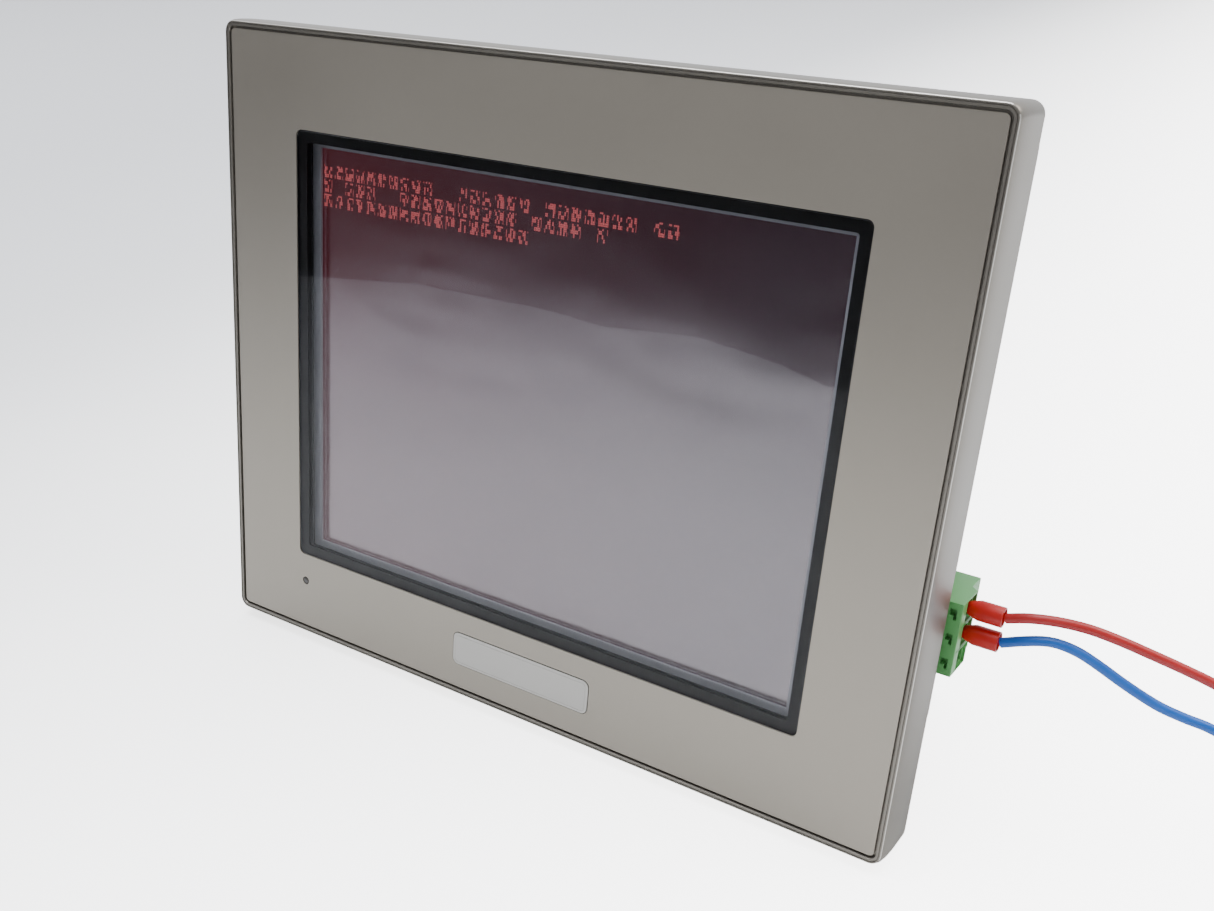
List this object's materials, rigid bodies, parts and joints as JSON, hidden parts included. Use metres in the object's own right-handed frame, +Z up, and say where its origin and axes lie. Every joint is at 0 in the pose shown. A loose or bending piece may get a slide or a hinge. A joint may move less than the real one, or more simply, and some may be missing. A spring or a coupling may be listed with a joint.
{
  "type": "hmi touch panel",
  "caption": "Industrial operator touch panel with a grey metallic bezel, recessed monochrome display and pull-out screw terminal, leaning back on its rear housing.",
  "frame": {"origin": "on the table, below the middle of the unit's box, wires and plug left out", "axes": "+X to the viewer's right along the bezel's bottom edge, +Y back from the screen, +Z up; the unit leans back about its bottom edge by 9.46 degrees"},
  "size_m": [0.2975, 0.0806, 0.1382],
  "materials": {
    "bezel_metal": "fine-blasted, silver-grey coat",
    "overlay_film": "matte printed polyester",
    "window_clear": "hard-coated clear sheet",
    "border_ink": "black screen print",
    "badge_metal": "brushed, lacquered",
    "lens_smoke": "smoked light pipe",
    "touch_glass": "polished",
    "foam_black": "closed-cell foam",
    "module_steel": "stamped, nickel-plated",
    "lcd_cell": "polarised glass cell",
    "diffuser_film": "milky film",
    "light_guide_acrylic": "clear acrylic",
    "lamp_glass": "phosphor-coated tube",
    "zinc_sheet": "zinc-plated sheet",
    "board_green": "solder mask over glass fibre",
    "chip_black": "moulded epoxy",
    "battery_steel": "nickel-plated can",
    "transformer_tape": "polyester tape",
    "capacitor_sleeve": "shrunk sleeve",
    "housing_resin": "fine spark-eroded texture",
    "gasket_rubber": "moulded seal",
    "label_film": "blank metallised film",
    "screw_steel": "zinc-plated",
    "socket_metal": "tin-plated stamping",
    "insulator_black": "glass-filled nylon",
    "terminal_green": "moulded polyamide",
    "contact_tin": "tin-plated brass",
    "ferrule_red": "moulded polypropylene",
    "wire_red": "PVC insulation",
    "wire_blue": "PVC insulation",
    "switch_red": "moulded",
    "lever_white": "moulded"
  },
  "bodies": {
    "unit": {"bezel_frame": "bezel_metal", "front_overlay": "overlay_film", "window_sheet": "window_clear", "window_border": "border_ink", "badge_plate": "badge_metal", "status_lens": "lens_smoke", "touch_panel": "touch_glass", "touch_gasket": "foam_black", "lcd_frame": "module_steel", "lcd_glass": "lcd_cell", "diffuser_sheet": "diffuser_film", "light_guide": "light_guide_acrylic", "backlight_lamp": "lamp_glass", "chassis_plate": "zinc_sheet", "panel_gasket": "gasket_rubber", "rear_housing": "housing_resin", "case_screw_1": "screw_steel", "case_screw_2": "screw_steel", "case_screw_3": "screw_steel", "case_screw_4": "screw_steel", "rating_plate": "label_film", "main_board": "board_green", "processor_chip": "chip_black", "backup_battery": "battery_steel", "inverter_board": "board_green", "inverter_transformer": "transformer_tape", "interface_board": "board_green", "power_board": "board_green", "power_capacitor": "capacitor_sleeve", "serial_port_shell": "socket_metal", "serial_port_insert": "insulator_black", "jackscrew_1": "screw_steel", "jackscrew_2": "screw_steel", "network_port": "socket_metal", "usb_port": "socket_metal", "card_bay_tray": "insulator_black", "card_socket": "socket_metal", "mode_switch_block": "switch_red", "door_hinge_pin": "screw_steel", "power_header": "terminal_green", "power_pin_1": "contact_tin", "power_pin_2": "contact_tin", "power_pin_3": "contact_tin"},
    "plug": {"power_plug": "terminal_green", "red_ferrule": "ferrule_red", "blue_ferrule": "ferrule_red", "red_wire": "wire_red", "blue_wire": "wire_blue", "red_wire_coil": "wire_red", "blue_wire_coil": "wire_blue", "red_end_ferrule": "ferrule_red", "blue_end_ferrule": "ferrule_red"},
    "clamp_screw_1": {"clamp_screw_1": "screw_steel"},
    "clamp_screw_2": {"clamp_screw_2": "screw_steel"},
    "clamp_screw_3": {"clamp_screw_3": "screw_steel"},
    "card_door": {"card_door": "housing_resin"},
    "eject_button": {"eject_button": "insulator_black"},
    "mode_lever_1": {"mode_lever_1": "lever_white"},
    "mode_lever_2": {"mode_lever_2": "lever_white"}
  },
  "joints": [
    {"name": "plug_pull", "type": "slide", "parent": "unit", "child": "plug", "axis": [1, 0, 0], "range_m": [0, 0.012]},
    {"name": "clamp_screw_1_turn", "type": "hinge", "parent": "plug", "child": "clamp_screw_1", "pos_m": [0.0793, -0.00213, 0.0433], "axis": [0, 0.9864, -0.1644], "range_deg": [0, 720]},
    {"name": "clamp_screw_2_turn", "type": "hinge", "parent": "plug", "child": "clamp_screw_2", "pos_m": [0.0793, -0.00297, 0.03829], "axis": [0, 0.9864, -0.1644], "range_deg": [0, 720]},
    {"name": "clamp_screw_3_turn", "type": "hinge", "parent": "plug", "child": "clamp_screw_3", "pos_m": [0.0793, -0.0038, 0.03328], "axis": [0, 0.9864, -0.1644], "range_deg": [0, 720]},
    {"name": "card_door_swing", "type": "hinge", "parent": "unit", "child": "card_door", "pos_m": [-0.07625, 0.01611, 0.08337], "axis": [0, -0.1644, -0.9864], "range_deg": [0, 100]},
    {"name": "eject_button_press", "type": "slide", "parent": "unit", "child": "eject_button", "axis": [1, 0, 0], "range_m": [0, 0.004], "stiffness_N_per_m": 150},
    {"name": "mode_lever_1_slide", "type": "slide", "parent": "unit", "child": "mode_lever_1", "axis": [0, 0.1644, 0.9864], "range_m": [0, 0.0024]},
    {"name": "mode_lever_2_slide", "type": "slide", "parent": "unit", "child": "mode_lever_2", "axis": [0, 0.1644, 0.9864], "range_m": [0, 0.0024]}
  ]
}
